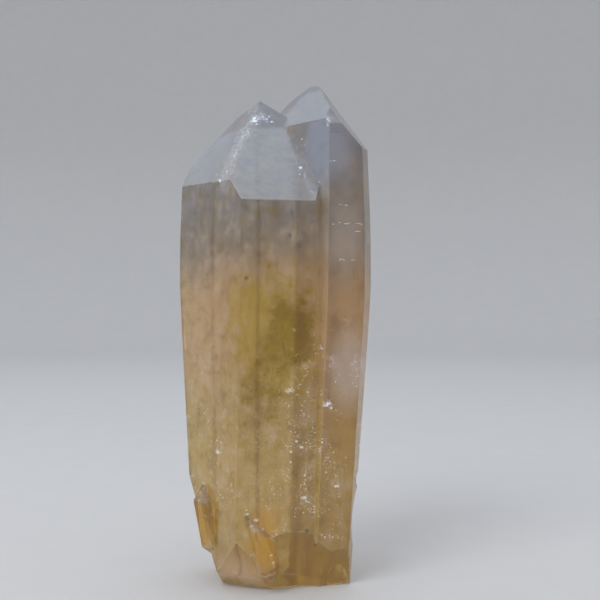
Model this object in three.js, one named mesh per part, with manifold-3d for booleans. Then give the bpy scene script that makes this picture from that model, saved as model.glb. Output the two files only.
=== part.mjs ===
// A citrine point with two tips: two quartz crystals grown side by side on parallel axes, with two
// small crystals at the foot, broken from their rock and standing on the break.
// Millimetres, +Z up along the crystals' long axis, -Y towards the front.
import * as THREE from "three";
import { ConvexGeometry } from "three/addons/geometries/ConvexGeometry.js";
import { mergeVertices } from "three/addons/utils/BufferGeometryUtils.js";
import Module from "manifold-3d";

const wasm = await Module();
wasm.setup();

// Quartz habit: six prism faces 60 degrees apart, and over each a tip face at a fixed slope.
const PRISM_TURN = 12; // degrees the front prism face is turned towards +X
const PRISM_STEP = 60;
const TIP_SLOPE = 51.8; // degrees between a tip face and level
const SIDES = ["front", "rightFront", "rightBack", "back", "leftBack", "leftFront"];

// The sides have a slight belly: upright between waist and shoulder, and drawn in above and below.
const SHOULDER = 109;
const WAIST = 97;
const SHOULDER_LEAN = 2.2; // degrees

// For each side, in mm: reach is the prism face's distance from the long axis, tip the height where
// the tip face starts, and draw how far the side has drawn in at the foot.
const LEFT_CRYSTAL = {
  front: { reach: 21.5, tip: 123.4, draw: 5.0 },
  rightFront: { reach: 18.6, tip: 147, draw: 2.5 },
  rightBack: { reach: 18.8, tip: 138.6, draw: 5.0 },
  back: { reach: 20.8, tip: 146.4, draw: 4.0 },
  leftBack: { reach: 30.9, tip: 137.5, draw: 6.6 },
  leftFront: { reach: 23.8, tip: 130.2, draw: 1.6 },
};
const RIGHT_CRYSTAL = {
  front: { reach: 20.5, tip: 148.4, draw: 5.0 },
  rightFront: { reach: 31.9, tip: 141.1, draw: 6.8 },
  rightBack: { reach: 19.0, tip: 162, draw: 5.0 },
  back: { reach: 23.4, tip: 146, draw: 4.5 },
  leftBack: { reach: 15.6, tip: 141.2, draw: 2.0 },
  leftFront: { reach: -0.9, tip: 150.2, draw: 0 },
};

// Faces are given by their azimuth from the front towards +X and their tilt above level, in degrees,
// and by a point on them, in mm. These are the odd ones beside the regular faces, worn or broken.
const FOOT = { azimuth: 0, tilt: -90, through: [0, 0, 0] };
const LEFT_WEAR = [{ azimuth: -15, tilt: 76, through: [-6, 4, 160.8] }];
const RIGHT_WEAR = [
  { azimuth: 95, tilt: 22, through: [31.2, -5, 137.6] },
  { azimuth: 20, tilt: 80, through: [13, 5, 165] },
];
const BREAKS = [
  { azimuth: -85, tilt: -17.5, through: [-20.6, -3, 8.8] },
  { azimuth: -16, tilt: -26, through: [-8, -18.3, 10.8] },
  { azimuth: -24, tilt: -52, through: [-8, -15.8, 4.6] },
  { azimuth: 150, tilt: -34, through: [9, 19.5, 9] },
  { azimuth: 215, tilt: -26, through: [-13, 18, 7] },
];

// Shell-shaped flakes struck off the crystal, each a ball that bites in: its centre and radius.
const FLAKES = [
  { at: [12, -43, 0.5], radius: 33 },
  { at: [27.4, -37.6, -3], radius: 30.7 },
  { at: [5.5, -30, -2], radius: 17.5 },
  { at: [54.4, -6, 20], radius: 30 },
  { at: [30.9, -8.2, 33.6], radius: 5.2 },
  { at: [34, 13, -1], radius: 21 },
  { at: [-18, 36, 3], radius: 20 },
];
const FLAKE_FLAT = 2.6; // the size of the flats that a flake is made of

// Chips along the worn ridge between the left crystal's two front tip faces: the ridge's two ends, the
// least and the greatest radius and bite of a chip, and how far it strays to either side.
const RIDGE = {
  low: [-13.7, -19.2, 130.2],
  high: [-5.9, 4.9, 158.2],
  chips: 16,
  radius: [2.2, 7.5],
  bite: [0.15, 0.65],
  stray: [-1.3, 1.3],
};

// Small crystals at the foot: radius of the prism, where their middle stands, the lean of their axis
// in degrees about X and Y, their turn about it, how deep they root, and the slope and the six
// starting heights of their tip faces.
const SIDE_CRYSTAL = {
  radius: 2.8,
  at: [-21.1, -9.6, 16],
  lean: [3, -10],
  turn: 24,
  depth: 2.6,
  slope: TIP_SLOPE,
  tips: [11.5, 14.5, 15.5, 15, 13, 12.5],
};
const WEDGE_CRYSTAL = {
  radius: 3.3,
  at: [-2.8, -17.2, 11.2],
  lean: [4, -15],
  turn: 8,
  depth: 4.4,
  slope: 62,
  tips: [13.5, 6.8, 9, 17, 17.5, 15.5],
};

const CITRINE = new THREE.MeshStandardMaterial({ color: 0xa38a62, roughness: 0.15, metalness: 0 });

// How near counts as the same: corners and face offsets in mm, and the spread of three normals.
const WELD = 1e-4;
const TOUCH = 1e-6;
const PARALLEL = 1e-9;

const GOLDEN = 0.618034;
const radians = THREE.MathUtils.degToRad;

// A point at a distance from the long axis, in a face's direction.
function outward(azimuth, distance, height) {
  return [Math.sin(radians(azimuth)) * distance, -Math.cos(radians(azimuth)) * distance, height];
}

// A face as a plane, with its normal away from the crystal.
function face({ azimuth, tilt, through }) {
  const level = outward(azimuth, Math.cos(radians(tilt)), Math.sin(radians(tilt)));
  const normal = new THREE.Vector3(...level);
  return { normal, offset: normal.dot(new THREE.Vector3(...through)) };
}

// The corner where three faces meet, or null if they have none.
function corner(a, b, c) {
  const side = new THREE.Vector3().crossVectors(b.normal, c.normal);
  const spread = a.normal.dot(side);
  if (Math.abs(spread) < PARALLEL) return null;
  return side
    .multiplyScalar(a.offset)
    .addScaledVector(new THREE.Vector3().crossVectors(c.normal, a.normal), b.offset)
    .addScaledVector(new THREE.Vector3().crossVectors(a.normal, b.normal), c.offset)
    .divideScalar(spread);
}

// A closed three.js geometry as a solid that can be joined and cut.
function solidOf(geometry) {
  const bare = new THREE.BufferGeometry().setAttribute("position", geometry.getAttribute("position"));
  if (geometry.index) bare.setIndex(geometry.index);
  const merged = mergeVertices(bare, WELD);
  return new wasm.Manifold(
    new wasm.Mesh({
      numProp: 3,
      vertProperties: new Float32Array(merged.attributes.position.array),
      triVerts: new Uint32Array(merged.index.array),
    }),
  );
}

function geometryOf(solid) {
  const mesh = solid.getMesh();
  return new THREE.BufferGeometry()
    .setAttribute("position", new THREE.BufferAttribute(mesh.vertProperties, 3))
    .setIndex(new THREE.BufferAttribute(mesh.triVerts, 1));
}

// The convex solid that lies inside every face.
function solidInside(faces) {
  const corners = new Map();
  for (let i = 0; i < faces.length; i++)
    for (let j = i + 1; j < faces.length; j++)
      for (let k = j + 1; k < faces.length; k++) {
        const point = corner(faces[i], faces[j], faces[k]);
        if (!point || faces.some((f) => f.normal.dot(point) > f.offset + TOUCH)) continue;
        corners.set(point.toArray().map((x) => x.toFixed(3)).join(), point);
      }
  return solidOf(new ConvexGeometry([...corners.values()]));
}

// One side of a large crystal: the upright band, the bands that draw in, and the tip face.
function sideFaces(azimuth, { reach, tip, draw }) {
  const drawLean = THREE.MathUtils.radToDeg(Math.atan2(draw, WAIST));
  const tipReach = reach - (tip - SHOULDER) * Math.tan(radians(SHOULDER_LEAN));
  return [
    { azimuth, tilt: 0, through: outward(azimuth, reach, SHOULDER) },
    { azimuth, tilt: SHOULDER_LEAN, through: outward(azimuth, reach, SHOULDER) },
    { azimuth, tilt: -drawLean, through: outward(azimuth, reach, WAIST) },
    { azimuth, tilt: 90 - TIP_SLOPE, through: outward(azimuth, tipReach, tip) },
  ];
}

function largeCrystal(sides, wear) {
  const regular = SIDES.flatMap((name, i) => sideFaces(PRISM_TURN + PRISM_STEP * i, sides[name]));
  return solidInside([FOOT, ...regular, ...BREAKS, ...wear].map(face));
}

// A small crystal grown out of the side: a leaning prism with a tip, and a point that roots it.
function smallCrystal({ radius, at, lean, turn, depth, slope, tips }) {
  const axis = new THREE.Euler(radians(lean[0]), radians(lean[1]), 0, "ZYX");
  const place = new THREE.Vector3(...at);
  const faces = tips.flatMap((tip, i) => {
    const azimuth = turn + PRISM_STEP * i;
    return [
      { azimuth, tilt: 0, through: outward(azimuth, radius, 0) },
      { azimuth, tilt: 90 - slope, through: outward(azimuth, radius, tip) },
      { azimuth, tilt: TIP_SLOPE - 90, through: outward(azimuth, radius, -depth) },
    ];
  });
  const leaning = faces.map(face).map(({ normal, offset }) => {
    normal.applyEuler(axis);
    return { normal, offset: offset + normal.dot(place) };
  });
  return solidInside([face(FOOT), ...leaning]);
}

// A ball of small flats, turned by its own size so that no two show the same flats.
function flake({ at, radius }) {
  const ball = new THREE.IcosahedronGeometry(radius, Math.round(2 + radius / FLAKE_FLAT));
  return solidOf(ball.rotateZ(radius).rotateX(radius).translate(...at));
}

// A fixed, uneven number between low and high: one row of them for each odd step.
function uneven(place, step, [low, high]) {
  return low + (high - low) * ((place * step * GOLDEN) % 1);
}

// Shallow bites along the ridge, to either side of it, uneven as a worn edge is.
function ridgeChips({ low, high, chips, radius, bite, stray }) {
  const start = new THREE.Vector3(...low);
  const run = new THREE.Vector3(...high).sub(start);
  const between = { azimuth: PRISM_TURN - PRISM_STEP / 2, tilt: 90 - TIP_SLOPE, through: low };
  const sideways = new THREE.Vector3().crossVectors(run, face(between).normal).normalize();
  const out = new THREE.Vector3().crossVectors(sideways, run).normalize();
  return Array.from({ length: chips }, (_, i) => {
    const size = uneven(i, 3, radius);
    const at = start
      .clone()
      .addScaledVector(run, (i + uneven(i, 5, [0, 1])) / chips)
      .addScaledVector(out, size - uneven(i, 7, bite))
      .addScaledVector(sideways, uneven(i, 11, stray));
    return flake({ at: at.toArray(), radius: size });
  });
}

const grown = largeCrystal(LEFT_CRYSTAL, LEFT_WEAR).add(largeCrystal(RIGHT_CRYSTAL, RIGHT_WEAR));
const broken = [...FLAKES.map(flake), ...ridgeChips(RIDGE)].reduce(
  (solid, bite) => solid.subtract(bite),
  grown,
);
const body = broken.add(smallCrystal(SIDE_CRYSTAL)).add(smallCrystal(WEDGE_CRYSTAL));

const geometry = geometryOf(body);
geometry.computeBoundingBox();
const middle = geometry.boundingBox.getCenter(new THREE.Vector3());

// The origin is under the middle of the crystal, on the surface that it stands on.
const part = new THREE.Group();
const crystal = new THREE.Mesh(geometry, CITRINE);
crystal.name = "citrine_crystal";
crystal.position.set(-middle.x, -middle.y, 0);
part.add(crystal);

export default part;
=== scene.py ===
# %% [markdown]
# # A citrine point with two tips
# The thing on the table is one natural crystal: two quartz points that grew side by side, smoky at the
# tips, honey-coloured lower down, hazy inside and broken off at the foot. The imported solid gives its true
# shape and size. This lesson dresses that solid: a finely cut skin with growth lines and chips, a clear
# but hazy material, and the small things that were trapped inside while the crystal grew.

import math

import bmesh
import bpy
import numpy as np
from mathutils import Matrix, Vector, noise
from mathutils.bvhtree import BVHTree


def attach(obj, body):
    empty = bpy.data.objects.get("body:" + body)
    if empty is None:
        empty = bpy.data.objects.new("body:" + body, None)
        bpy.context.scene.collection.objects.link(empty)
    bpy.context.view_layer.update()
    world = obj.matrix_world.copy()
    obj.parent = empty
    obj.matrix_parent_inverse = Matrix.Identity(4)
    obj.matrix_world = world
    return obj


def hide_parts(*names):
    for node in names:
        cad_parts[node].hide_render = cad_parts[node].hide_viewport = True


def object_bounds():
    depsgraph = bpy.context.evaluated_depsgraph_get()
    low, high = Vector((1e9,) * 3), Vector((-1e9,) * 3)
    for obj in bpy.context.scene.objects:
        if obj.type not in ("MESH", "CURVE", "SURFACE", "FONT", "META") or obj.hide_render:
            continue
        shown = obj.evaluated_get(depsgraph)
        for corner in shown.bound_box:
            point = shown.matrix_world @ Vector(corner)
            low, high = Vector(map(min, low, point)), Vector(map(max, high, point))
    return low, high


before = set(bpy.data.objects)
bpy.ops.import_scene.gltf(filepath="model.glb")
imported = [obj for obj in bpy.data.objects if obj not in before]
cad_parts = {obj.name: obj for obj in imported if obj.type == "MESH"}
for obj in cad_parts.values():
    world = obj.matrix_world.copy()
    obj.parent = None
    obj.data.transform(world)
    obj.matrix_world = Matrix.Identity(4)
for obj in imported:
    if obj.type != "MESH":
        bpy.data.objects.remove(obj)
solid_low, solid_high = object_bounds()
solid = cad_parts["citrine_crystal"]
scene = bpy.context.scene
MM = 0.001
print("solid, mm:", [round(side / MM, 1) for side in solid_high - solid_low])

# %% [markdown]
# ## The camera
# The eye is a little above the middle of the crystal and close to it, about 300 mm away, so the near edges
# look a little larger than the far ones. A long lens from far away would flatten the two tips into one
# plane, so the camera keeps the short distance and a lens that frames the whole crystal.

# %% Camera
EYE = Vector((8.47, -300.24, 92.33)) * MM
LENS = 54
SENSOR = 36
NEAR_CLIP = 0.01

camera = bpy.data.objects.new("camera", bpy.data.cameras.new("camera"))
camera.data.lens = LENS
camera.data.sensor_width = SENSOR
camera.location = EYE
camera.rotation_euler = (math.radians(90), 0, 0)
camera.data.clip_start = NEAR_CLIP
scene.collection.objects.link(camera)
scene.camera = camera
print("camera, mm in front of the long axis:", round(-EYE.y / MM))

# %% [markdown]
# ## Shader maths in plain Python
# A material is a tree of nodes, and most of them only add, multiply or compare. Clicking them together
# is slow to read, so one small class wraps an output socket: adding two wires adds a Math node. The
# method `node` makes any other kind of node.

# %% Wires
class Wire:
    """An output socket that can be reckoned with like a number."""

    def __init__(self, socket):
        self.socket = socket
        self.tree = socket.id_data

    def node(self, kind, settings=(), sockets=(), out=0):
        made = self.tree.nodes.new(kind)
        for name, value in dict(settings).items():
            setattr(made, name, value)
        for name, value in dict(sockets).items():
            plug(made.inputs[name], value)
        return Wire(made.outputs[out])

    def maths(self, operation, first, second):
        return self.node("ShaderNodeMath", {"operation": operation}, {0: first, 1: second})

    def __add__(self, other):
        return self.maths("ADD", self, other)

    def __sub__(self, other):
        return self.maths("SUBTRACT", self, other)

    def __rsub__(self, other):
        return self.maths("SUBTRACT", other, self)

    def __mul__(self, other):
        return self.maths("MULTIPLY", self, other)

    __radd__ = __add__
    __rmul__ = __mul__


def plug(socket, value):
    """Links a wire to a socket, or sets the socket to a plain value."""
    if isinstance(value, Wire):
        value.tree.links.new(value.socket, socket)
    else:
        socket.default_value = value


print("wires add, take away and multiply")

# %% [markdown]
# A few small helpers carry the colours and places that a Math node can't: a soft threshold, a blend of two
# colours, a soft blob around a place, and a cloud of noise. Places are in millimetres in the crystal's own
# frame, so a colour zone stays where it grew, whichever side it is seen from.

# %% Helpers for colour and place
BLOB_CORE = 0.25  # the share of a blob's reach that it fills fully


def soft_step(value, low, high):
    """0 below low, 1 above high, and a smooth rise between."""
    ends = {"Value": value, "From Min": low, "From Max": high}
    return value.node("ShaderNodeMapRange", {"interpolation_type": "SMOOTHSTEP"}, ends)


def blend(mask, under, over):
    """The colour over where the mask is 1, and the colour under where it is 0."""
    colours = [c if isinstance(c, Wire) else (*c, 1) for c in (under, over)]
    sockets = {0: mask, 6: colours[0], 7: colours[1]}
    return mask.node("ShaderNodeMix", {"data_type": "RGBA"}, sockets, out=2)


def height_of(place):
    return place.node("ShaderNodeSeparateXYZ", {}, {0: place}, out="Z")


def stretched(place, factors):
    return place.node("ShaderNodeVectorMath", {"operation": "MULTIPLY"}, {0: place, 1: factors})


def blob(place, middle, reach):
    """1 in the middle of a soft ellipsoid and 0 outside it."""
    away = place.node("ShaderNodeVectorMath", {"operation": "SUBTRACT"}, {0: place, 1: middle})
    scaled = stretched(away, [1 / r for r in reach])
    length = place.node("ShaderNodeVectorMath", {"operation": "LENGTH"}, {0: scaled}, out="Value")
    return 1 - soft_step(length, BLOB_CORE, 1.0)


def cloud(place, scale, detail=3.0, roughness=0.55):
    sockets = {"Vector": place, "Scale": scale, "Detail": detail, "Roughness": roughness}
    return place.node("ShaderNodeTexNoise", {}, sockets, out="Fac")


def new_material(name):
    """A material with a Principled shader, the shader node, and the place in mm as a wire."""
    material = bpy.data.materials.new(name)
    material.use_nodes = True
    tree = material.node_tree
    shader = tree.nodes["Principled BSDF"]
    where = Wire(tree.nodes.new("ShaderNodeTexCoord").outputs["Object"])
    place = where.node("ShaderNodeVectorMath", {"operation": "SCALE"}, {0: where, "Scale": 1 / MM})
    return material, shader, place


print("helpers: soft_step, blend, height_of, stretched, blob, cloud, new_material")

# %% [markdown]
# ## The skin of the crystal
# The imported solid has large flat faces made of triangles. Before anything else, the triangles of one flat
# face are joined, and each face is noted as base, prism, tip or break. The kind could be worked out again
# later for each small face, but a small face doesn't know how large its flat face was. So the kind is
# stored in a layer of the mesh, and every later cut hands it on.

# %% Kinds of face
BASE, PRISM, TIP, BREAK = range(4)
WELD = 0.001 * MM
FLAT = math.radians(0.4)
SMALL_FACE = 12 * MM * MM
TIPS_START = 120 * MM
# How far a normal points up or down, as its Z: the base, an undercut break, and a sloping tip face.
BASE_NORMAL = -0.99
UNDERCUT_NORMAL = -0.28
TIP_NORMAL = 0.3


def kind_of(face):
    """The kind of a flat face. Small flats are chips: worn tip above, break at the foot."""
    if face.normal.z < BASE_NORMAL:
        return BASE
    small = face.calc_area() < SMALL_FACE
    if small and face.calc_center_median().z > TIPS_START:
        return TIP
    if small or face.normal.z < UNDERCUT_NORMAL:
        return BREAK
    return TIP if face.normal.z > TIP_NORMAL else PRISM


def flat_faces(mesh):
    """The solid as whole flat faces, and the layer that holds their kinds."""
    skin = bmesh.new()
    skin.from_mesh(mesh)
    bmesh.ops.remove_doubles(skin, verts=skin.verts, dist=WELD)
    bmesh.ops.dissolve_limit(skin, angle_limit=FLAT, verts=skin.verts, edges=skin.edges)
    skin.normal_update()
    kinds = skin.faces.layers.int.new("kind")
    for face in skin.faces:
        face[kinds] = kind_of(face)
    return skin, kinds


skin, kinds = flat_faces(solid.data)
print("flat faces:", len(skin.faces))

# %% [markdown]
# A real edge is never quite sharp. A bevel of every sharp edge would also plane the small flats of a chip.
# So only the long outward edges between large faces and the rims of the shell-shaped breaks are planed, to a
# narrow band that catches a thin line of light.

# %% Planed edges
WORN_ANGLE = math.radians(18)
WORN_LENGTH = 6 * MM
WORN_FACE = 15 * MM * MM
RIM_LENGTH = 1 * MM
RIM_FACE = 1 * MM * MM
RIM_BROAD = 60 * MM * MM
RIM_TOP = 24 * MM
BAND = {"offset": 0.22 * MM, "offset_type": "OFFSET", "segments": 2, "profile": 0.5, "affect": "EDGES"}
SAME_POINT = 0.02 * MM


def is_worn(edge, kinds):
    """Whether an edge is planed: a long edge between faces, or the rim of a shell-shaped break."""
    if edge.calc_face_angle_signed(0) < WORN_ANGLE:
        return False
    if BASE in [face[kinds] for face in edge.link_faces]:
        return False
    small, broad = sorted(face.calc_area() for face in edge.link_faces)
    length = edge.calc_length()
    low = edge.verts[0].co.z < RIM_TOP
    rim = low and length > RIM_LENGTH and small > RIM_FACE and broad > RIM_BROAD
    return rim or (length > WORN_LENGTH and small > WORN_FACE)


worn = [edge for edge in skin.edges if is_worn(edge, kinds)]
print("worn edges:", len(worn))
bmesh.ops.bevel(skin, geom=worn, **BAND)
bmesh.ops.remove_doubles(skin, verts=skin.verts, dist=SAME_POINT)

# %% [markdown]
# Real quartz has steps of growth across its prism faces, dimpled tip faces and rippled breaks. Those need
# many small faces, and a subdivision would round the crystal off. So the solid is cut by level and upright
# planes a millimetre apart: each flat face stays flat and gains a grid of points that can be moved. A cut
# goes through a point that lies very close to it, which leaves no slivers.

# %% Cut into small faces
GRID_STEP = 1.0 * MM
GRID_START = 0.63
ON_THE_CUT = 0.03 * MM


def cut(skin, axis):
    """Cuts the whole skin by planes square to an axis."""
    normal = Vector([float(axis == i) for i in range(3)])
    cuts = int((solid_high[axis] - solid_low[axis]) / GRID_STEP)
    for i in range(cuts):
        place = normal * (solid_low[axis] + (i + GRID_START) * GRID_STEP)
        whole = skin.verts[:] + skin.edges[:] + skin.faces[:]
        bmesh.ops.bisect_plane(skin, geom=whole, plane_co=place, plane_no=normal, dist=ON_THE_CUT)


for axis in (2, 0, 1):
    cut(skin, axis)
print("small faces:", len(skin.faces))

# %% [markdown]
# Some edges of the real crystal are chipped white: the worn ridge and apex of the left tip, the joint of
# the two tips, a corner of the right one, and the tops of the small crystals. Noise alone would make soft
# hills there. So a seam is a line with a frayed width, and the skin along it is broken into cells, each a
# small flat with its own tilt and depth. From here on, lengths are in millimetres.

# %% Chipped seams
# Each seam has two ends and a half width.
SEAMS = [
    (Vector((-16.3, -17.6, 129.2)), Vector((-7.6, 5.0, 157.6)), 5.2),
    (Vector((5.0, -6.5, 146.5)), Vector((13.5, -20.0, 126.0)), 1.1),
    (Vector((-8.8, -22.5, 26.8)), Vector((-2.0, -22.5, 19.4)), 1.9),
    (Vector((-23.4, -12.5, 33.5)), Vector((-22.8, -13.5, 30.0)), 2.2),
    (Vector((-8.0, 0.0, 154.0)), Vector((-1.5, 1.5, 154.5)), 3.6),
    (Vector((13.5, -18.0, 148.6)), Vector((18.5, -15.5, 152.0)), 1.7),
]
FRAY = 0.6
FRAY_PITCH = 0.4
SEAM_GAIN = 1.5
CHIP_SIZE = 1.7
CHIP_RIM = 0.5
CHIP_LEAST = 0.05
CHIP_MORE = 0.12
CHIP_TILT = 0.25
UNCHIPPED = 0.35  # how white the skin is between the chips of a seam
SCATTER = Vector((12.99, 78.23, 37.72))
SCATTER_STEP = 5.1
SCATTER_GAIN = 4375.85


def seam_share(point):
    """How much of a chipped seam there is at a point, from 0 to 1."""
    frayed = 1 + FRAY * noise.noise(point * FRAY_PITCH)
    share = 0.0
    for low, high, reach in SEAMS:
        run = high - low
        along = max(0.0, min(1.0, (point - low).dot(run) / run.length_squared))
        away = (point - low - run * along).length
        share = max(share, 1 - away / (reach * frayed))
    return min(1.0, share * SEAM_GAIN)


def luck(point, draw):
    """A fixed number from 0 to 1 that differs from place to place."""
    return math.sin(point.dot(SCATTER) + SCATTER_STEP * draw) * SCATTER_GAIN % 1


def chip(point):
    """How deep a point lies in a chip, and how crumbled it is there."""
    away, middles = noise.voronoi(point / CHIP_SIZE)
    middle = middles[0] * CHIP_SIZE
    share = seam_share(middle)
    if luck(middle, 0) > share:
        return 0.0, UNCHIPPED * seam_share(point)
    rim = min(1.0, (away[1] - away[0]) * CHIP_SIZE / CHIP_RIM)
    tilt = Vector([luck(middle, draw) - 0.5 for draw in (1, 2, 3)])
    depth = CHIP_LEAST + CHIP_MORE * luck(middle, 4) + CHIP_TILT * tilt.dot(point - middle)
    return rim * max(0.0, depth), share * (0.5 + 0.5 * luck(middle, 5))


print("chipped seams:", len(SEAMS))

# %% [markdown]
# Each kind of face has its own relief. Growth left long level steps on the prism faces and shallow dimples
# on the tip faces, and a blow left shell-like ripples round the point where it struck. All of them are sums
# of smooth waves, because a wave of noise can be stretched to any of these forms.

# %% Growth lines, dimples and ripples
# The waves of each kind of face: how deep they are, and how close they lie along X, Y and Z.
WAVES = {
    BASE: [],
    PRISM: [(0.035, Vector((0.05, 0.05, 0.42))), (0.02, Vector((0.12, 0.12, 0.12)))],
    TIP: [(0.045, Vector((0.21, 0.21, 0.21))), (0.02, Vector((0.6, 0.6, 0.6)))],
    BREAK: [(0.12, Vector((0.2, 0.2, 0.2)))],
}
STRIKE = Vector((6, -30, 2))
RING_DEPTH = 0.06
RING_PITCH = 1.3
RING_WANDER = 2.0
WANDER_PITCH = 0.15


def ripples(point):
    """Rings round the point where the foot was struck off."""
    wander = RING_WANDER * noise.noise(point * WANDER_PITCH)
    return RING_DEPTH * (0.5 + 0.5 * math.sin((point - STRIKE).length * RING_PITCH + wander))


def relief(kind, point):
    """How deep the relief of one kind of face is at a point."""
    depth = sum(deep * (0.5 + 0.5 * noise.noise(point * pitch)) for deep, pitch in WAVES[kind])
    return depth + ripples(point) if kind == BREAK else depth


print("waves:", sum(len(waves) for waves in WAVES.values()))

# %% [markdown]
# The prism sides have a slight belly. In the solid it is two bends, at the waist and at the shoulder, and
# two straight bends would show as lines across the glass. So both are rounded off by a parabola, as far as
# each side bends.

# %% The belly of the sides
SIDES = 6
SIDE_STEP = 360 / SIDES
PRISM_TURN = 12
WAIST = 97
SHOULDER = 109
SHOULDER_LEAN = math.radians(2.2)
LOWER_BODY = 0.8 * WAIST * MM
ROUNDING = 22


def side_of(normal):
    """Which of the six prism sides a normal belongs to."""
    azimuth = math.degrees(math.atan2(normal.x, -normal.y))
    return round((azimuth - PRISM_TURN) / SIDE_STEP) % SIDES


def leans_below_waist(skin, kinds):
    """How far each prism side leans in below the waist, in radians, measured on the solid."""
    leans = np.zeros(SIDES)
    areas = np.zeros(SIDES)
    for face in skin.faces:
        if face[kinds] == PRISM and face.calc_center_median().z < LOWER_BODY:
            side = side_of(face.normal)
            leans[side] += face.calc_area() * math.asin(-face.normal.z)
            areas[side] += face.calc_area()
    return leans / areas


def belly(point, lean):
    """How far the two bends of a prism side are rounded off at a height."""
    depth = 0.0
    for height, bend in ((WAIST, lean), (SHOULDER, SHOULDER_LEAN)):
        near = max(0.0, ROUNDING - abs(point.z - height))
        depth += bend * near**2 / (4 * ROUNDING)
    return depth


print("sides are rounded over, mm:", 2 * ROUNDING)

# %% [markdown]
# Now the points move, each along its normal and only inwards, so that the crystal stays inside its solid. A
# displace modifier could do this with a texture, but each kind of face would need one of its own. Near the
# seams the skin is first cut finer, because a chip is hardly larger than a small face. How much seam, tip
# and break a point has is kept, because the material whitens and roughens the same places.

# %% Move the points
FINER_CUTS = 2
SMALL_TIPS = 60  # the tip faces below this height belong to the small crystals
SMALL_TIP_FROST = 0.35


def refine(skin):
    """Cuts the faces near a seam three times finer, for the chips."""
    near = [face for face in skin.faces if seam_share(face.calc_center_median() / MM) > 0]
    small = set(bmesh.ops.triangulate(skin, faces=near)["faces"])
    edges = [edge for edge in skin.edges if small.intersection(edge.link_faces)]
    bmesh.ops.subdivide_edges(skin, edges=edges, cuts=FINER_CUTS, use_grid_fill=True)


def carve(skin, kinds):
    """Moves every point inwards and returns the seam, tip and break shares of the points."""
    skin.normal_update()
    leans = leans_below_waist(skin, kinds)
    shares = {"seam": [], "tip": [], "break": []}
    moves = []
    for vert in skin.verts:
        point = vert.co / MM
        around = [face[kinds] for face in vert.link_faces]
        sides = {side_of(face.normal) for face in vert.link_faces if face[kinds] == PRISM}
        bite, seam = chip(point)
        depth = sum(relief(kind, point) for kind in around) / len(around) + bite
        depth += max((belly(point, leans[side]) for side in sides), default=0.0)
        if BASE in around:
            depth = 0.0
        moves.append(vert.normal * (-depth * MM))
        frost = 1.0 if point.z > SMALL_TIPS else SMALL_TIP_FROST
        shares["seam"].append(seam)
        shares["tip"].append(frost * around.count(TIP) / len(around))
        shares["break"].append(around.count(BREAK) / len(around))
    for vert, move in zip(skin.verts, moves):
        vert.co += move
    return shares


refine(skin)
shares = carve(skin, kinds)
print("points moved:", len(skin.verts))

# %% [markdown]
# The finished skin is a new object that takes the place of the solid. Faces that meet at a low angle are
# shaded as one smooth surface, and the crystal's own edges stay sharp. Each side of a crystal also gets a
# painted shade of its own, as facets that face other ways look lighter or darker, and it is stored on the
# faces for the material.

# %% The crystal as an object
SHARP = math.radians(24)
# A painted shade for each of the six sides, on the prism faces and on the tip faces.
PAINTED_SIDE_SHADES = {PRISM: (0.9, 0.3, 0.8, 0.2, 0.6, 0.1), TIP: (0.1, 0.6, 0.2, 0.7, 0.3, 0.9)}


def painted_shade_of(face, kinds):
    """How dark the painted shade of a face is, from 0 to 1. Breaks and the base have none."""
    painted_shades = PAINTED_SIDE_SHADES.get(face[kinds])
    return painted_shades[side_of(face.normal)] if painted_shades else 0.0


def crystal_object(skin, kinds, shares):
    mesh = bpy.data.meshes.new("citrine_point")
    painted_shades = [painted_shade_of(face, kinds) for face in skin.faces]
    skin.to_mesh(mesh)
    skin.free()
    mesh.materials.clear()
    mesh.shade_smooth()
    mesh.set_sharp_from_angle(angle=SHARP)
    for name, values in shares.items():
        mesh.attributes.new(name, "FLOAT", "POINT").data.foreach_set("value", values)
    # The painted shade of each face is kept for the material.
    mesh.attributes.new("painted_shade", "FLOAT", "FACE").data.foreach_set("value", painted_shades)
    piece = bpy.data.objects.new("citrine_point", mesh)
    scene.collection.objects.link(piece)
    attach(piece, "root")
    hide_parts("citrine_crystal")
    return piece


crystal = crystal_object(skin, kinds, shares)
print("crystal triangles:", sum(len(p.vertices) - 2 for p in crystal.data.polygons))

# %% [markdown]
# ## Citrine
# Quartz is as clear as glass, but this crystal is hazy, and its colour changes from the foot to the tips. A
# volume that scatters light would show that, but it is slow and is lost in an export. So one shader is more
# than four parts clear to one part haze, and the haze is its diffuse share, whose colour is laid out in the
# crystal's own frame. The body comes first: honey at the foot, then tan, smoke and a grey haze, with borders
# that wander, and over it darker and creamy wisps.

# %% Colour of the body
SMOKE = (0.44, 0.41, 0.40)
HAZE = (0.50, 0.52, 0.58)
TAN = (0.92, 0.65, 0.36)
HONEY = (0.75, 0.55, 0.20)
DARK = (0.26, 0.18, 0.06)
CREAM = (0.97, 0.85, 0.62)
# The heights in mm between which one zone passes into the next, and how far a border wanders.
HONEY_TO_TAN = (52, 82)
TAN_TO_SMOKE = (90, 118)
SMOKE_TO_HAZE = (110, 128)
WANDER = {"reach": 34, "scale": 0.06}
HAZE_SHARE = 0.7
STREAKS = {"scale": 0.6, "detail": 2.0, "roughness": 0.5}
STREAK_STRETCH = (0.7, 0.7, 0.13)
STREAK_SHARE = 0.2
DARK_WISPS = {"share": 0.55, "ends": (0.36, 0.50)}
CREAM_WISPS = {"share": 0.65, "ends": (0.50, 0.64)}
SIDE_SHADE = 0.16


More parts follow.
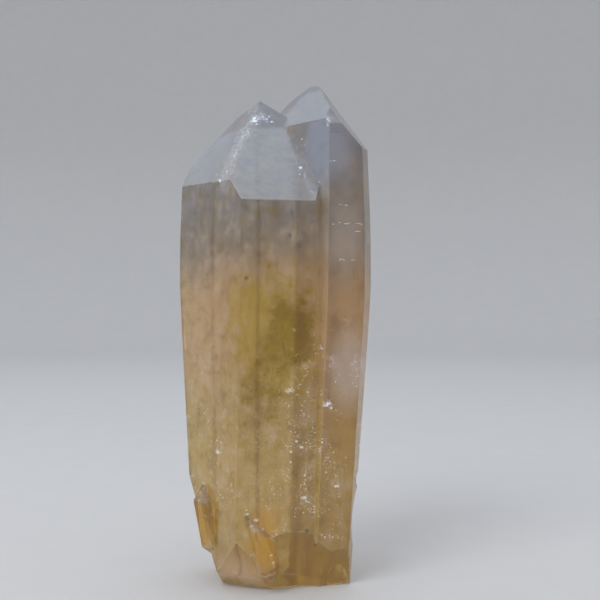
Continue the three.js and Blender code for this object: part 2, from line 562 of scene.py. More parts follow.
def body_colour(place, wisps, painted_shade):
    """The colour zones from the foot up, with wisps and a painted shade for each side."""
    level = height_of(place) + WANDER["reach"] * (cloud(place, WANDER["scale"]) - 0.5)
    colour = blend(soft_step(level, *TAN_TO_SMOKE), TAN, SMOKE)
    colour = blend(1 - soft_step(level, *HONEY_TO_TAN), colour, HONEY)
    colour = blend(HAZE_SHARE * soft_step(level, *SMOKE_TO_HAZE), colour, HAZE)
    streaks = cloud(stretched(place, STREAK_STRETCH), **STREAKS)
    shade = (1 - STREAK_SHARE) * wisps + STREAK_SHARE * streaks
    dark = 1 - soft_step(shade, *DARK_WISPS["ends"])
    cream = soft_step(shade, *CREAM_WISPS["ends"])
    colour = blend(DARK_WISPS["share"] * dark, colour, DARK)
    colour = blend(CREAM_WISPS["share"] * cream, colour, CREAM)
    # Painted shade: each side of the body is drawn darker by its own amount.
    return blend(SIDE_SHADE * painted_shade, colour, DARK)


print("zones from the foot up: honey, tan, smoke, haze")

# %% [markdown]
# In the middle hangs a cloud of fine golden dust: a yellow halo round a mottled olive heart. Thousands of
# grains give it depth further down in this lesson, but its soft colour needs many more than a mesh can hold.
# So the haze takes that colour too, in soft blobs with a ragged edge.

# %% The yellow and olive cloud
YELLOW = (0.68, 0.51, 0.02)
OLIVE = (0.35, 0.225, 0.0003)
MOSS = (0.43, 0.295, 0.0006)
# The lobes of the cloud: their weight, their middle and how far they reach, in mm.
HALO = [(1.0, (1, -10, 80), (22, 40, 32)), (0.5, (-9, -12, 92), (10, 30, 14))]
HEART = [(1.0, (5.5, -14, 82), (12, 40, 17)), (0.5, (-3, -14, 64), (11, 40, 22))]
RAGGED = {"scale": 0.24, "detail": 6.0, "roughness": 0.68}
HALO_EDGE = {"share": 0.85, "fray": 2.2, "ends": (0.0, 0.9)}
HEART_EDGE = {"share": 1.0, "fray": 2.6, "ends": (0.1, 0.85)}
MOSS_ENDS = (0.47, 0.60)


def lobes(place, rows, ragged, edge):
    """A mask of soft blobs with a ragged edge."""
    body = sum(weight * blob(place, middle, reach) for weight, middle, reach in rows)
    return edge["share"] * soft_step(body + edge["fray"] * ragged, *edge["ends"])


def cloud_colour(place, colour, wisps):
    """The yellow halo and the mottled olive heart over the colour of the body."""
    ragged = cloud(place, **RAGGED) - 0.5
    colour = blend(lobes(place, HALO, ragged, HALO_EDGE), colour, YELLOW)
    mottled = blend(soft_step(wisps, *MOSS_ENDS), OLIVE, MOSS)
    return blend(lobes(place, HEART, ragged, HEART_EDGE), colour, mottled)


print("lobes of the cloud:", len(HALO) + len(HEART))

# %% [markdown]
# Some places have a colour of their own: pale light along the right crystal, a groove between the two, the
# amber of the small crystals and a rosy pale foot. The right tip gets a pale blue patch of painted sheen. An
# image painted from the front would smear on the other sides, so each patch is a soft blob at its place.

# %% Patches of colour
PALE = (0.94, 0.90, 0.88)
AMBER = (0.86, 0.46, 0.04)
GROOVE = (0.84, 0.60, 0.40)
PALE_FOOT = (1.0, 0.72, 0.54)
PAINTED_BLUE_SHEEN = (0.60, 0.72, 1.0)
# Each patch has a share, a middle, a reach and a colour.
BODY_PATCHES = [
    (0.95, (24, -16, 70), (9, 12, 18), PALE),
    (0.2, (22, -16, 48), (12, 14, 16), AMBER),
    (0.6, (15.8, -16.2, 85), (3.2, 3.2, 80), GROOVE),
    (0.6, (22, -17, 112), (9, 12, 18), PALE),
    (0.95, (-2.5, -20, 16), (7, 7, 17), AMBER),
    (0.95, (-22, -11, 22), (5, 5, 15), AMBER),
]
FOOT_PATCHES = [(1.0, (-11, -16, 4), (13, 10, 12), PALE_FOOT)]
# Painted sheen: a pale blue patch that brightens the right tip.
TIP_SHEEN_PATCHES = [(0.95, (17, -12, 141), (14, 16, 20), PAINTED_BLUE_SHEEN)]


def patched(place, colour, patches):
    for share, middle, reach, paint in patches:
        colour = blend(share * blob(place, middle, reach), colour, paint)
    return colour


print("patches:", len(BODY_PATCHES + FOOT_PATCHES + TIP_SHEEN_PATCHES))

# %% [markdown]
# The broken foot shows golden shells with a painted highlight along their rim, the tip faces a cool cloudy
# frost with a painted bluish sheen, and the seams white crumbs. These follow the shapes, not the places, so
# they use the shares that the skin keeps. Where a break passes into a face, its share lies between 0 and 1,
# and that is where the painted rim highlight goes.

# %% Colour of foot, tips and seams
SHELL = (0.58, 0.36, 0.05)
# The colour of the painted highlight along the rims of the breaks.
PAINTED_RIM_HIGHLIGHT = (1.0, 0.93, 0.80)
# The frost colours also carry a painted bluish sheen of the overhead light on the tip faces.
FROST_AND_SHEEN = (0.62, 0.82, 1.0)
COOL_FROST_AND_SHEEN = (0.50, 0.64, 0.92)
# The colour of the painted shade on some tip faces.
PAINTED_TIP_SHADE = (0.27, 0.30, 0.38)
CRUMB = (0.80, 0.88, 1.0)
FOOT_TOP = (18, 30)
SHELL_SHARE = 0.75
RIM_HIGHLIGHT_SHARE = 3.2
FROST_AND_SHEEN_CLOUD = {"scale": 0.3, "detail": 6.0, "roughness": 0.65}
FROST_AND_SHEEN_ENDS = (0.36, 0.62)
FROST_AND_SHEEN_SHARE = 0.8
PAINTED_TIP_SHADE_SHARE = 0.5
CRUMB_SHARE = 0.8
WISPS = {"scale": 0.17, "detail": 6.0, "roughness": 0.66}


def foot_colour(place, colour, broken):
    """Golden shells where the foot is broken, and a painted highlight on the rim where a break passes into a
    face.
    """
    struck = broken * (1 - soft_step(height_of(place), *FOOT_TOP))
    colour = blend(SHELL_SHARE * struck, colour, SHELL)
    colour = patched(place, colour, FOOT_PATCHES)
    # Painted highlight: a bright line where a break passes into a face.
    return blend(RIM_HIGHLIGHT_SHARE * struck * (1 - struck), colour, PAINTED_RIM_HIGHLIGHT)


def tip_colour(place, colour, tip, painted_shade):
    """Cool cloudy frost with a painted bluish sheen on the tip faces, and painted shade on some of them."""
    colour = patched(place, colour, TIP_SHEEN_PATCHES)
    frost_and_sheen = soft_step(cloud(place, **FROST_AND_SHEEN_CLOUD), *FROST_AND_SHEEN_ENDS)
    # Frost with painted sheen: the bluish white stands partly for overhead light that the tip faces reflect.
    colour = blend(FROST_AND_SHEEN_SHARE * tip, colour, blend(frost_and_sheen, COOL_FROST_AND_SHEEN, FROST_AND_SHEEN))
    # Painted shade: some tip faces are drawn darker, in slate.
    return blend(PAINTED_TIP_SHADE_SHARE * tip * painted_shade, colour, PAINTED_TIP_SHADE)


def citrine_colour(place, shares):
    """All the colours of the haze, one over the other."""
    wisps = cloud(place, **WISPS)
    colour = body_colour(place, wisps, shares["painted_shade"])
    colour = cloud_colour(place, colour, wisps)
    colour = patched(place, colour, BODY_PATCHES)
    colour = foot_colour(place, colour, shares["break"])
    colour = tip_colour(place, colour, shares["tip"], shares["painted_shade"])
    return blend(CRUMB_SHARE * soft_step(shares["seam"], 0.0, 1.0), colour, CRUMB)


print("kept shares that colour follows: break, tip, seam, tone")

# %% [markdown]
# Polished faces with haze under them look slightly soft inside, and seams and tip faces softer still, while
# a fresh break is as smooth as glass. One roughness for all would lose that, so it follows the shares too.
# Hair-thin growth lines and the grain of the breaks are too small for the mesh and are a bump.

# %% Gloss and fine lines
ROUGH_FACE = 0.15
ROUGH_MOTTLE = 0.1
ROUGH_TIP = 0.12
ROUGH_SEAM = 0.1
SMOOTH_BREAK = 0.06
MOTTLE_SCALE = 0.4
LINE_STRETCH = (0.06, 0.06, 1.0)
LINES = {"scale": 2.2, "detail": 4.0}
GRAIN_SCALE = 3.0
GRAIN_SHARE = 0.5
BREAK_GRAIN = 0.3
BUMP = {"Strength": 0.35, "Distance": 0.03 * MM}


def citrine_roughness(place, shares):
    rough = ROUGH_FACE + ROUGH_MOTTLE * cloud(place, MOTTLE_SCALE)
    return rough + ROUGH_TIP * shares["tip"] + ROUGH_SEAM * shares["seam"] - SMOOTH_BREAK * shares["break"]


def citrine_bump(place, shares):
    lines = cloud(stretched(place, LINE_STRETCH), **LINES)
    grain = GRAIN_SHARE * cloud(place, GRAIN_SCALE)
    height = lines * (1 - shares["tip"]) + grain * (shares["seam"] + BREAK_GRAIN * shares["break"])
    return place.node("ShaderNodeBump", {}, {**BUMP, "Height": height})


print("roughness from", round(ROUGH_FACE - SMOOTH_BREAK, 2))

# %% [markdown]
# The material puts all this together, with quartz's own index of refraction. A slightly rough inside under a
# crisp clear coat gives what polished haze shows: sharp reflections over a soft view into the stone. Plain
# absorption deepens the colour where the crystal is thick.

# %% The citrine material
QUARTZ_IOR = 1.544
CLEAR_SHARE = 0.82
COAT_FACE = 0.3
COAT_TIP = 0.35
COAT_ROUGHNESS = 0.03
ABSORPTION = (0.85, 0.52, 0.07)
ABSORPTION_PER_METRE = 12


def citrine_material():
    material, shader, place = new_material("hazy_citrine")
    names = ("tip", "seam", "break", "painted_shade")
    kept = [place.node("ShaderNodeAttribute", {"attribute_name": name}, {}, out="Fac") for name in names]
    shares = dict(zip(names, kept))
    plug(shader.inputs["Base Color"], citrine_colour(place, shares))
    plug(shader.inputs["Roughness"], citrine_roughness(place, shares))
    plug(shader.inputs["Normal"], citrine_bump(place, shares))
    plug(shader.inputs["Coat Weight"], COAT_FACE + COAT_TIP * shares["tip"])
    shader.inputs["Coat Roughness"].default_value = COAT_ROUGHNESS
    shader.inputs["Coat IOR"].default_value = QUARTZ_IOR
    shader.inputs["IOR"].default_value = QUARTZ_IOR
    shader.inputs["Transmission Weight"].default_value = CLEAR_SHARE
    tree = material.node_tree
    inside = tree.nodes.new("ShaderNodeVolumeAbsorption")
    inside.inputs["Color"].default_value = (*ABSORPTION, 1)
    inside.inputs["Density"].default_value = ABSORPTION_PER_METRE
    tree.links.new(inside.outputs["Volume"], tree.nodes["Material Output"].inputs["Volume"])
    return material


crystal.data.materials.append(citrine_material())
print("citrine nodes:", len(crystal.data.materials[0].node_tree.nodes))

# %% [markdown]
# ## What the crystal holds
# Close under the faces float specks like snow: tiny healed cracks and bubbles that catch the light. Deeper
# hang milky veils and a golden dust, with a few fine rutile needles and brown grains. Thousands of loose
# objects would be slow, and particles would be lost in an export. So each kind is one joined mesh of small
# eight-sided grains, made from arrays of places, sizes and turns. To find places under a face, a ray is cast
# at the solid.

# %% Places inside the crystal
corners = [vertex.co for vertex in solid.data.vertices]
walls = BVHTree.FromPolygons(corners, [face.vertices for face in solid.data.polygons])
FRONT = 0  # an azimuth, in degrees from the front towards the right
OUTSIDE = 80
LEAST_DEPTH = 0.25


def depth_at(point):
    """How far a point in mm lies under the crystal's skin, below 0 outside it."""
    place, normal, _, away = walls.find_nearest(Vector(point) * MM)
    inside = (Vector(point) * MM - place).dot(normal) < 0
    return away / MM if inside else -away / MM


def under_face(azimuth, across, height, depth):
    """The place at a depth under the face that is seen from an azimuth, or None beside the crystal."""
    turn = math.radians(azimuth)
    ahead = Vector((-math.sin(turn), math.cos(turn), 0))
    aside = Vector((math.cos(turn), math.sin(turn), 0))
    start = (aside * across - ahead * OUTSIDE + Vector((0, 0, height))) * MM
    hit = walls.ray_cast(start, ahead)[0]
    if hit is None:
        return None
    point = hit / MM + ahead * depth
    return point if depth_at(point) > LEAST_DEPTH else None


print("walls to cast at:", len(solid.data.polygons))

# %% [markdown]
# A grain is a double pyramid, stretched to a speck, a flake or a needle. A ball would need many more faces
# for the same look at this size. Each grain has a random turn, from a generator with a fixed seed, so that
# the crystal is the same on every run.

# %% Turns and joined grains
SEED = 11
rng = np.random.default_rng(SEED)
DIAMOND = np.array([(1, 0, 0), (-1, 0, 0), (0, 1, 0), (0, -1, 0), (0, 0, 1), (0, 0, -1)], float)
DIAMOND_FACES = np.array(
    [(0, 2, 4), (2, 1, 4), (1, 3, 4), (3, 0, 4), (2, 0, 5), (1, 2, 5), (3, 1, 5), (0, 3, 5)]
)
ASKEW = np.array([0, 0, 0.31])


def turns(count, tilt=1.0):
    """Random turns as matrices: any way round at tilt 1, and close to upright at a low tilt."""
    spin = rng.uniform(0, 2 * math.pi, count)
    lean = np.arccos(1 - tilt * rng.uniform(0, 1, count))
    way = rng.uniform(0, 2 * math.pi, count)
    up = np.stack([np.sin(lean) * np.cos(way), np.sin(lean) * np.sin(way), np.cos(lean)], 1)
    flat = np.stack([np.cos(spin), np.sin(spin), np.zeros(count)], 1)
    first = np.cross(up, flat + ASKEW)
    first /= np.linalg.norm(first, axis=1)[:, None]
    return np.stack([first, np.cross(up, first), up], 2)


def grains(name, places, sizes, turned, material):
    """One joined mesh of eight-sided grains: places and half sizes in mm, and turns."""
    places, sizes = np.array(places), np.array(sizes)
    points = places[:, None] + np.einsum("nij,nkj->nki", turned, sizes[:, None] * DIAMOND)
    faces = DIAMOND_FACES + len(DIAMOND) * np.arange(len(places))[:, None, None]
    mesh = bpy.data.meshes.new(name)
    mesh.from_pydata((points.reshape(-1, 3) * MM).tolist(), [], faces.reshape(-1, 3).tolist())
    mesh.materials.append(material)
    piece = bpy.data.objects.new(name, mesh)
    scene.collection.objects.link(piece)
    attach(piece, "root")
    print(name, "grains:", len(places), "triangles:", len(mesh.polygons))
    return piece


print("triangles in a grain:", len(DIAMOND_FACES))

# %% [markdown]
# A plain material dresses each kind of grain: one colour that drifts a little from place to place, and a
# gloss of its own. The snow is seen through honey at the foot and through grey above, and looks white in
# both, so its own colour is bluer below. It also glows a little, which stands for the light that a crack
# sends back.

# %% Grain materials
SNOW_IN_HONEY = (0.56, 0.66, 1.0)
SNOW_IN_SMOKE = (0.86, 0.92, 1.0)
SNOW_ENDS = (88, 118)
SNOW_GLOW = 0.9
SNOW_ROUGHNESS = 0.35
# The other kinds: their light and dark colour, their roughness and their glow.
GRAIN_LOOKS = {
    # The veils glow a little: painted light for what their tiny bubbles send back.
    "veil_white": ((0.84, 0.80, 0.68), (0.74, 0.66, 0.48), 0.5, 0.12),
    "golden_dust": ((0.46, 0.34, 0.01), (0.28, 0.20, 0.005), 0.5, 0.0),
    "rutile_gold": ((0.55, 0.33, 0.08), (0.30, 0.16, 0.04), 0.25, 0.0),
    "dark_grain": ((0.05, 0.035, 0.02), (0.02, 0.015, 0.01), 0.5, 0.0),
}
GRAIN_DRIFT = 0.9
DRIFT_ENDS = (0.35, 0.65)


def grain_material(name, colour, dark, roughness, glow):
    material, shader, place = new_material(name)
    shader.inputs["Emission Color"].default_value = (*colour, 1)
    shader.inputs["Emission Strength"].default_value = glow
    drift = soft_step(cloud(place, GRAIN_DRIFT), *DRIFT_ENDS)
    plug(shader.inputs["Base Color"], blend(drift, dark, colour))
    shader.inputs["Roughness"].default_value = roughness
    return material


def snow_material():
    """Specks that look white both through the honey of the foot and through the grey of the tips."""
    material, shader, place = new_material("snow_white")
    white = blend(soft_step(height_of(place), *SNOW_ENDS), SNOW_IN_HONEY, SNOW_IN_SMOKE)
    plug(shader.inputs["Base Color"], white)
    plug(shader.inputs["Emission Color"], white)
    shader.inputs["Emission Strength"].default_value = SNOW_GLOW
    shader.inputs["Roughness"].default_value = SNOW_ROUGHNESS
    return material


looks = {name: grain_material(name, *look) for name, look in GRAIN_LOOKS.items()}
looks["snow_white"] = snow_material()
print("grain materials:", ", ".join(looks))

# %% [markdown]
# The snow lies in trails, as healed cracks do. Specks strewn evenly would look like dust on the lens, so
# each trail wanders upwards under a face and carries specks on both sides. The front has the regions of the
# real crystal, and the other sides have fewer trails of their own.

# %% Snow in trails
# Each region says from which side it is seen, how far it reaches across and in height, and its trails.
SNOW_REGIONS = [
    (FRONT, (3, 21), (16, 76), 50),
    (FRONT, (-2, 20), (20, 46), 22),
    (FRONT, (-22, -13), (34, 54), 9),
    (FRONT, (-20, -6), (22, 32), 7),
    (95, (-12, 12), (20, 80), 14),
    (185, (-18, 18), (20, 90), 22),
    (265, (-12, 14), (20, 80), 14),
]
TRAIL_SPECKS = 36
TRAIL_DRIFT = 0.25
TRAIL_WANDER = 0.18
TRAIL_RISE = (0.08, 0.5)
TRAIL_STRIDE = (0.2, 1.4)
TRAIL_DEPTH = (0.3, 1.6)
TRAIL_WIDTH = (0.15, 0.8)
TRAIL_SIZE = {"shape": 1.1, "scale": 0.055, "least": 0.035}


def speck_size(shape, scale, least):
    """A random size: mostly small, with a few large ones."""
    return rng.gamma(shape, scale) + least


def snow_trail(azimuth, across, height):
    """Places along one wandering trail, each with a size."""
    drift = rng.normal(0, TRAIL_DRIFT)
    rise = rng.uniform(*TRAIL_RISE)
    depth = rng.uniform(*TRAIL_DEPTH)
    width = rng.uniform(*TRAIL_WIDTH)
    found = []
    for _ in range(TRAIL_SPECKS):
        across += drift * rise + rng.normal(0, TRAIL_WANDER)
        height += rise * rng.uniform(*TRAIL_STRIDE)
        aside, above = rng.normal(0, width, 2)
        point = under_face(azimuth, across + aside, height + above, depth + rng.uniform(0, 1))
        if point is not None:
            found.append((point, speck_size(**TRAIL_SIZE)))
    return found


snowflakes = []
for azimuth, across, heights, trails in SNOW_REGIONS:
    for _ in range(trails):
        snowflakes += snow_trail(azimuth, rng.uniform(*across), rng.uniform(*heights))
print("specks in trails:", len(snowflakes))

# %% [markdown]
# At a few places under the front the specks stand close together in a white tuft. One large grain would show
# its flat sides, so a tuft is made of many small ones.

# %% Snow in tufts
# Each tuft has its place across, its height and its size.
TUFTS = [
    (5.1, 63.9, 1.4),
    (17.1, 59.3, 1.7),
    (6.6, 83.0, 0.8),
    (15.5, 77.0, 0.9),
    (9.0, 46.0, 0.8),
    (9.6, 30.0, 1.2),
    (20.0, 33.0, 1.0),
    (-17.6, 44.0, 1.2),
    (-8.0, 25.6, 0.8),
    (-5.3, 23.6, 0.9),
    (-3.4, 20.6, 0.7),
    (-22.6, 32.6, 0.8),
]
TUFT_SPECKS = 70
TUFT_SPREAD = np.array((0.42, 0.26))
TUFT_DEPTH = 0.5
TUFT_SPECK = 0.14
TUFT_UNEVEN = (0.4, 1.2)


def snow_tuft(across, height, size):
    """Places of specks close together, each with a size."""
    found = []
    for _ in range(TUFT_SPECKS):
        aside, above = rng.normal(0, TUFT_SPREAD * size)
        depth = TUFT_DEPTH + rng.uniform(0, TUFT_DEPTH * size)
        point = under_face(FRONT, across + aside, height + above, depth)
        if point is not None:
            found.append((point, TUFT_SPECK * size * rng.uniform(*TUFT_UNEVEN)))
    return found


for tuft in TUFTS:
    snowflakes += snow_tuft(*tuft)
print("specks with the tufts:", len(snowflakes))

# %% [markdown]
# Along the chipped seams and the edges of the foot the crystal is white with crumbs. They could be painted,
# but as grains close under the skin they sparkle when the view turns.

# %% Crumbs
# Each row of crumbs has two ends, a spread and a count.
CRUMB_ROWS = [
    ((-17.8, -16.8, 130.4), (-8.0, 4.0, 156.6), 1.9, 420),
    ((-7.5, 0.0, 154.0), (-1.5, 1.5, 154.8), 1.6, 260),
    ((5.5, -7.5, 145.5), (13.4, -19.8, 126.0), 0.5, 120),
    ((13.5, -18.0, 148.6), (18.5, -15.5, 152.0), 0.7, 70),
    ((-8.8, -22.0, 26.6), (-3.0, -22.0, 20.0), 0.6, 90),
    ((-23.4, -12.5, 33.2), (-22.8, -13.5, 30.4), 0.6, 50),
    ((-0.6, -20.0, 19.2), (5.5, -20.0, 20.7), 0.4, 30),
    ((13.3, -17.0, 17.6), (24.1, -17.0, 15.5), 0.5, 60),
    ((0.5, -20.0, 14.0), (2.5, -20.0, 9.5), 0.5, 40),
]
CRUMB_DEPTH = (0.45, 1.0)
CRUMB_LEAST = 0.35
CRUMB_SIZE = {"shape": 1.3, "scale": 0.055, "least": 0.04}


def crumbs(low, high, spread, count):
    """Places of specks close under the skin along a chipped seam, each with a size."""
    found = []
    for share, stray in zip(rng.uniform(0, 1, count), rng.normal(0, spread, (count, 3))):
        beside = Vector(low).lerp(Vector(high), share) + Vector(stray)
        place, normal, _, _ = walls.find_nearest(beside * MM)
        point = place / MM - normal * rng.uniform(*CRUMB_DEPTH)
        if depth_at(point) > CRUMB_LEAST:
            found.append((point, speck_size(**CRUMB_SIZE)))
    return found


for row in CRUMB_ROWS:
    snowflakes += crumbs(*row)
print("specks with the crumbs:", len(snowflakes))

# %% [markdown]
# On the right crystal's front, broken growth lines catch the light as short level ledges. Each is a row of
# white slivers turned along the face that glow a little, as the snow does: a painted highlight. There are
# gaps where a smooth noise is low, because a whole line would look drawn with a ruler. Then all the snow is
# joined in one piece.

# %% Ledges and the joined snow
# Each ledge has its left and right end and its height.
LEDGES = [
    (18.0, 24.0, 122.3),
    (18.3, 28.4, 116.4),
    (25.0, 28.8, 114.0),
    (21.0, 25.6, 105.0),
    (17.6, 20.5, 136.2),
]
LEDGE_STEP = 0.35
LEDGE_DEPTH = 0.35
LEDGE_PITCH = 0.9
LEDGE_BEND = 0.5
LEDGE_STRAY = 0.05
LEDGE_GAPS = (-0.5, 0.6)
LEDGE_SIZES = ((0.2, 0.03, 0.03), (0.5, 0.05, 0.07))
SPECK_UNEVEN = (0.35, 1.3)
TURN = math.radians(PRISM_TURN)
LEVEL = np.array([(math.cos(TURN), -math.sin(TURN), 0), (math.sin(TURN), math.cos(TURN), 0), (0, 0, 1)])


def ledge(left, right, height):
    """Places of the slivers along one broken growth line under the right crystal's front face."""
    places = []
    for across in np.arange(left, right, LEDGE_STEP):
        patchy = noise.noise(Vector((across * LEDGE_PITCH, height, 0)))
        level = height + LEDGE_BEND * patchy + rng.normal(0, LEDGE_STRAY)
        point = under_face(FRONT, across, level, LEDGE_DEPTH)
        if point is not None and rng.uniform(*LEDGE_GAPS) < patchy:
            places.append(point)
    return places


def snow(specks):
    """All specks and slivers as one piece."""
    # The ledge slivers are white and glow a little: painted highlights along the growth lines.
    ledge_glints = [place for line in LEDGES for place in ledge(*line)]
    places = [place for place, _ in specks] + ledge_glints
    sizes = np.array([[size] for _, size in specks]) * rng.uniform(*SPECK_UNEVEN, (len(specks), 3))
    thin = rng.uniform(*LEDGE_SIZES, (len(ledge_glints), 3))
    turned = np.concatenate([turns(len(specks)), np.repeat(LEVEL[None], len(ledge_glints), 0)])
    return grains("snow_specks", places, np.concatenate([sizes, thin]), turned, looks["snow_white"])


snow(snowflakes)

# %% [markdown]
# The haze in the lower half hangs in veils: cracks that healed while the crystal grew and kept a skin of
# tiny bubbles. A see-through sheet would have a hard edge, so each veil is a thin, slightly curved drift of
# flat flakes that lie along it.

# %% Milky veils
VEILS = 26
VEIL_FLAKES = 230
VEIL_LOW = (-20, -17, 8)
VEIL_HIGH = (22, 17, 84)
VEIL_REACH = ((2.5, 2.5), (6, 9))
VEIL_SPREAD = 0.5
VEIL_BEND = 0.05
VEIL_THICK = 0.12
VEIL_DEPTH = 0.8
FLAKE_SIZES = ((0.05, 0.02, 0.05), (0.24, 0.05, 0.24))


def veil():
    """Places, half sizes and turns of the flakes of one veil."""
    middle = rng.uniform(VEIL_LOW, VEIL_HIGH)
    turned = turns(1)[0]
    reach = rng.uniform(*VEIL_REACH)
    bend = rng.normal(0, VEIL_BEND)
    spots = rng.normal(0, VEIL_SPREAD, (VEIL_FLAKES, 2)) * reach
    lift = bend * (spots**2).sum(1) + rng.normal(0, VEIL_THICK, VEIL_FLAKES)
    places = middle + np.stack([spots[:, 0], lift, spots[:, 1]], 1) @ turned.T
    kept = np.array([depth_at(place) > VEIL_DEPTH for place in places])
    sizes = rng.uniform(*FLAKE_SIZES, (VEIL_FLAKES, 3))
    return places[kept], sizes[kept], np.repeat(turned[None], kept.sum(), 0)


def veils():
    parts = [veil() for _ in range(VEILS)]
    places, sizes, turned = (np.concatenate(part) for part in zip(*parts))
    return grains("milky_veils", places, sizes, turned, looks["veil_white"])


veils()

# %% [markdown]
# The golden dust is a cloud that thins out from its middle, as a normal spread of random places does, and a
# much thinner dust in the lower body. It gives the painted cloud its depth.

# %% Golden dust
# Each drift of dust has a middle, a spread and a count.
DUST = [((4, -9, 85), (5, 6, 7), 1800), ((-2, -7, 66), (6, 7, 11), 1300), ((0, 0, 50), (14, 10, 26), 700)]
DUST_DEPTH = 0.6
DUST_SIZES = (0.05, 0.2)


def dust():
    places = []
    for middle, spread, count in DUST:
        for point in rng.normal(middle, spread, (count, 3)):
            if depth_at(point) > DUST_DEPTH:
                places.append(point)
    sizes = rng.uniform(*DUST_SIZES, (len(places), 3))
    return grains("golden_dust", places, sizes, turns(len(places)), looks["golden_dust"])


dust()

# %% [markdown]
# Rutile grows as straight needles. They are hardly seen in this crystal, so there are few, thin as hair,
# mostly along its length. A curve with a round section would need many more faces for the same look, so a
# needle is a very long grain.

# %% Rutile needles
NEEDLES = 150
NEEDLE_BOX = ((-26, -21, 12), (27, 21, 110))
NEEDLE_LENGTHS = (3, 11)
NEEDLE_THICK = 0.06
NEEDLE_DEPTH = 1.5
NEEDLE_TILT = 0.03


def needles():
    places, sizes = [], []
    while len(places) < NEEDLES:
        point = rng.uniform(*NEEDLE_BOX)
        length = rng.uniform(*NEEDLE_LENGTHS)
        ends = [point + np.array([0, 0, side * length]) for side in (-1, 1)]
        if min(depth_at(p) for p in (point, *ends)) < NEEDLE_DEPTH:
            continue
        places.append(point)
        sizes.append((NEEDLE_THICK, NEEDLE_THICK, length))
    turned = turns(len(places), NEEDLE_TILT)
    return grains("rutile_needles", places, sizes, turned, looks["rutile_gold"])


needles()

# %% [markdown]
# Brown grains lie in small smudges under the front, and single ones anywhere. Under the right tip there are
# three dark slivers along the growth lines. They are grains too, so that they shift against the snow when
# the view turns, as things inside a stone do.

# %% Dark grains
# Each smudge has its place across, its height and its size, and each sliver its half length.
SMUDGES = [
    (11.9, 117, 0.9),
    (8.5, 109.5, 1.0),
    (6.0, 119.5, 0.7),
    (5.4, 112.7, 0.6),
    (10.6, 19.5, 0.4),
    (-8, 99, 0.5),
]
SMUDGE_GRAINS = 16
SMUDGE_SPREAD = np.array((0.5, 0.9))
SMUDGE_DEPTH = 0.4
SMUDGE_SIZES = (0.08, 0.32)
LONE_GRAINS = 60
LONE_BOX = ((-26, -21, 12), (27, 21, 130))
LONE_DEPTH = 1.0
LONE_SIZES = (0.12, 0.4)
SLIVERS = [(20.2, 145.6, 2.4), (22.4, 144.4, 1.7), (19.2, 146.6, 1.0)]
SLIVER_DEPTH = 0.6
SLIVER_SECTION = (0.06, 0.13)


def smudge(across, height, size):
    """Places of the grains of one brown smudge under the front."""
    strays = rng.normal(0, SMUDGE_SPREAD * size, (SMUDGE_GRAINS, 2))
    places = []
    for aside, above in strays:
        depth = SMUDGE_DEPTH + rng.uniform(0, size)
        places.append(under_face(FRONT, across + aside, height + above, depth))
    return [place for place in places if place is not None]


def dark_grains():
    places = [place for spot in SMUDGES for place in smudge(*spot)]
    sizes = list(rng.uniform(*SMUDGE_SIZES, (len(places), 3)))
    for point in rng.uniform(*LONE_BOX, (LONE_GRAINS, 3)):
        if depth_at(point) > LONE_DEPTH:
            places.append(point)
            sizes.append(rng.uniform(*LONE_SIZES, 3))
    turned = turns(len(places))
    for across, height, length in SLIVERS:
        places.append(under_face(FRONT, across, height, SLIVER_DEPTH))
        sizes.append((length, *SLIVER_SECTION))
    turned = np.concatenate([turned, np.repeat(LEVEL[None], len(SLIVERS), 0)])
    return grains("dark_grains", places, sizes, turned, looks["dark_grain"])


dark_grains()

# %% [markdown]
# ## The floor
# The crystal stands on a plain pale sheet. A flat sheet would show a horizon behind the glass, so it curves
# up all round into a wall, as studio paper does. It lies a hair below the crystal, so that the two surfaces
# don't flicker. The sheet and the lamp are large, so their sizes are in metres.

# %% Floor
SHEET_FLAT = 1.3
SHEET_BEND = 0.5
SHEET_TOP = 1.0
SHEET_SIDES = 96
FLAT_STEPS = 8
BEND_STEPS = 24
HAIR = 0.1 * MM
PAPER_SCALE = 0.05
PAPER_DETAIL = 4.0
PAPER_DARK = (0.62, 0.62, 0.62)
PAPER_LIGHT = (0.66, 0.66, 0.65)
PAPER_ROUGHNESS = 0.7


def sheet_profile():
    """The sheet from its middle out and up, as distances and heights in metres."""
    profile = [(SHEET_FLAT * i / FLAT_STEPS, -HAIR) for i in range(1, FLAT_STEPS)]
    for i in range(BEND_STEPS + 1):
        angle = math.pi / 2 * i / BEND_STEPS
        rise = SHEET_BEND * (1 - math.cos(angle)) - HAIR
        profile.append((SHEET_FLAT + SHEET_BEND * math.sin(angle), rise))
    return profile + [(SHEET_FLAT + SHEET_BEND, SHEET_TOP)]


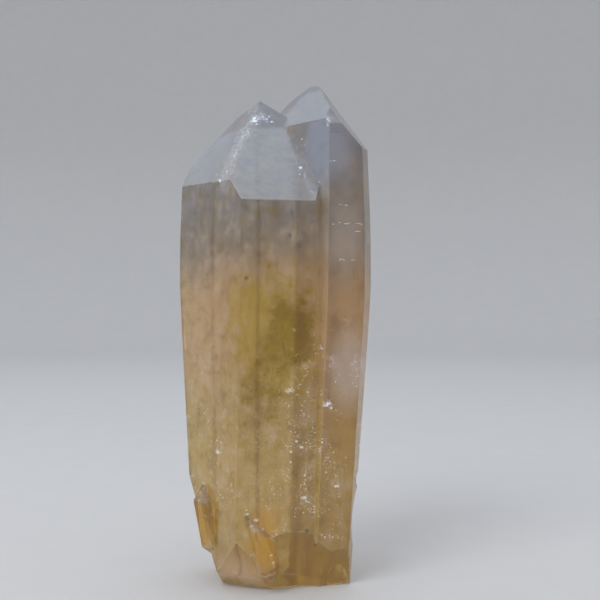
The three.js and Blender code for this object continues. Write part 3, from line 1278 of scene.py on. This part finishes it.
def sheet_mesh():
    mesh = bpy.data.meshes.new("pale_sheet")
    bowl = bmesh.new()
    around = [2 * math.pi * i / SHEET_SIDES for i in range(SHEET_SIDES)]
    rings = []
    for reach, height in sheet_profile():
        rings.append([bowl.verts.new((reach * math.cos(a), reach * math.sin(a), height)) for a in around])
    bowl.faces.new(rings[0])
    for low, high in zip(rings, rings[1:]):
        for i in range(SHEET_SIDES):
            bowl.faces.new((low[i - 1], high[i - 1], high[i], low[i]))
    bowl.to_mesh(mesh)
    bowl.free()
    mesh.shade_smooth()
    return mesh


def paper():
    material, shader, place = new_material("pale_paper")
    fibre = cloud(place, PAPER_SCALE, PAPER_DETAIL)
    plug(shader.inputs["Base Color"], blend(fibre, PAPER_DARK, PAPER_LIGHT))
    shader.inputs["Roughness"].default_value = PAPER_ROUGHNESS
    return material


sheet = bpy.data.objects.new("pale_sheet", sheet_mesh())
scene.collection.objects.link(sheet)
sheet.data.materials.append(paper())
print("sheet reaches", SHEET_TOP, "m up all round")

# %% [markdown]
# ## The light
# The light is a studio's: a soft sky over the rim of the sheet, brightest overhead, so that the tip faces
# shine and the upright faces stay clear to look into. One large soft lamp at the front left adds form. Small
# lamps would be sharper, but each would show as a spot in every facet.

# %% Light
LOW_LIGHT = (0.22, 0.22, 0.23)
HIGH_LIGHT = (0.86, 0.89, 0.96)
OVERHEAD = 0.85
KEY_PLACE = Vector((-0.55, -0.75, 0.95))
KEY_AIM = Vector((0, 0, 0.08))
KEY_SIZE = 0.7
KEY_POWER = 6.0


def studio_sky():
    world = bpy.data.worlds.new("studio")
    world.use_nodes = True
    tree = world.node_tree
    way = Wire(tree.nodes.new("ShaderNodeTexCoord").outputs["Generated"])
    sky = blend(soft_step(height_of(way), 0.0, OVERHEAD), LOW_LIGHT, HIGH_LIGHT)
    plug(tree.nodes["Background"].inputs["Color"], sky)
    scene.world = world


def key_lamp():
    lamp = bpy.data.lights.new("key_lamp", "AREA")
    lamp.shape = "DISK"
    lamp.size = KEY_SIZE
    lamp.energy = KEY_POWER
    holder = bpy.data.objects.new("key_lamp", lamp)
    holder.location = KEY_PLACE
    holder.rotation_euler = (KEY_AIM - KEY_PLACE).to_track_quat("-Z", "Y").to_euler()
    scene.collection.objects.link(holder)


studio_sky()
key_lamp()
scene.view_settings.view_transform = "Standard"
scene.cycles.use_denoising = True
print("lamps:", len(bpy.data.lights))
